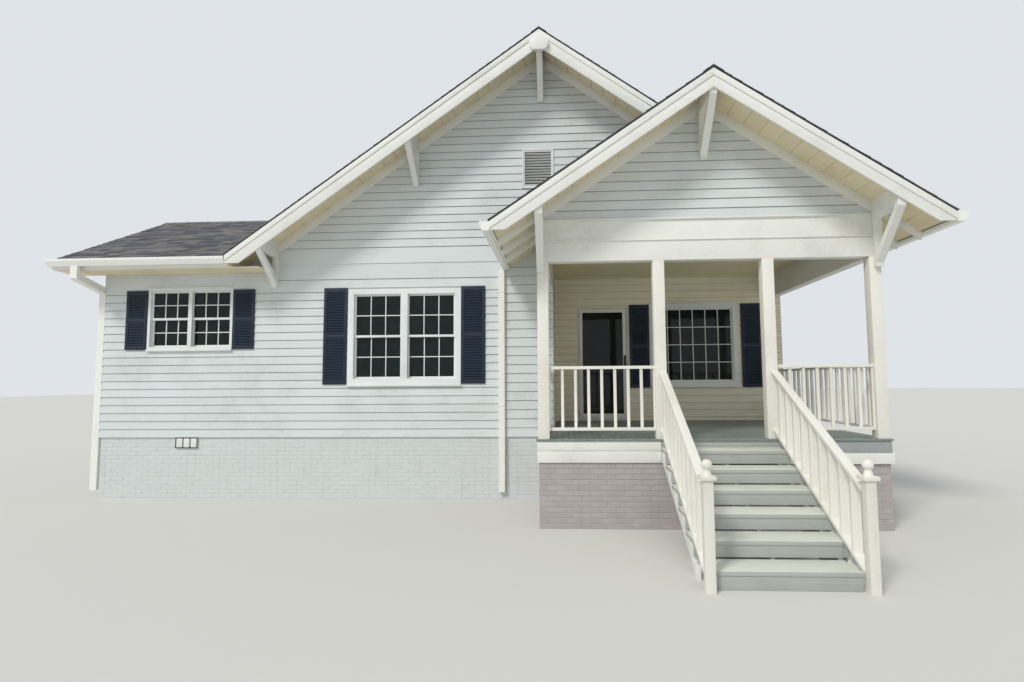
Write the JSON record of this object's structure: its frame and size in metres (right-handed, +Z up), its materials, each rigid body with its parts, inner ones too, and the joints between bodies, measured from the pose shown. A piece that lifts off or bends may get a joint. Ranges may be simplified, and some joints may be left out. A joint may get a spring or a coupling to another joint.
{
  "type": "bungalow",
  "caption": "Gabled timber bungalow on a brick base with a side wing, a recessed corner porch under its own gable, a front stair with railings, and a storm door that opens.",
  "frame": {"origin": "middle of the whole outline in plan, at ground level", "axes": "+X to the right seen from the street, +Y from the street into the house, +Z up"},
  "size_m": [12.786, 15.032, 7.2849],
  "materials": {
    "siding": "cream painted lap boards",
    "entry_siding": "cream painted lap boards",
    "foundation_brick": "painted brickwork",
    "floor_boards": "satin",
    "shingles": "mineral shingles",
    "trim": "cream painted",
    "ceiling_boards": "painted beaded boards",
    "gutter_metal": "satin",
    "porch_deck": "grey painted boards",
    "stair_grey": "grey painted",
    "tread_boards": "grey painted boards",
    "sash_white": "white",
    "glass": "clear",
    "shutter_navy": "dark navy paint"
  },
  "bodies": {
    "house": {"foundation": "foundation_brick", "porch_foundation": "foundation_brick", "house_floor": "floor_boards", "wing_front_wall": "siding", "wing_side_wall": "siding", "wing_back_wall": "siding", "front_wall": "siding", "gable_wall": "siding", "entry_wall_left": "entry_siding", "entry_wall_head": "entry_siding", "entry_wall_right": "entry_siding", "right_wall": "siding", "left_wall": "siding", "back_wall": "siding", "main_roof": "shingles", "wing_roof": "shingles", "porch_roof": "shingles", "main_rake_boards": "trim", "porch_rake_boards": "trim", "wing_trim": "trim", "gable_brackets": "trim", "porch_brackets": "trim", "gutters": "gutter_metal", "porch_frame": "trim", "porch_floor": "porch_deck", "porch_posts": "trim", "porch_beams": "trim", "porch_gable_wall": "siding", "porch_ceiling": "ceiling_boards", "porch_railings": "trim", "stair_stringers": "stair_grey", "stair_treads": "tread_boards", "stair_risers": "stair_grey", "newel_posts": "trim", "stair_railings": "trim", "wing_window": "sash_white", "front_window": "sash_white", "entry_window": "sash_white", "side_windows": "sash_white", "window_glass": "glass", "shutters": "shutter_navy", "wall_vents": "trim", "door_frame": "trim"},
    "storm_door_leaf": {"storm_door": "trim", "storm_door_glass": "glass"}
  },
  "joints": [
    {"name": "storm_door_hinge", "type": "hinge", "parent": "house", "child": "storm_door_leaf", "pos_m": [2.002, -1.806, 2.158], "axis": [0, 0, -1], "range_deg": [0, 90]}
  ]
}
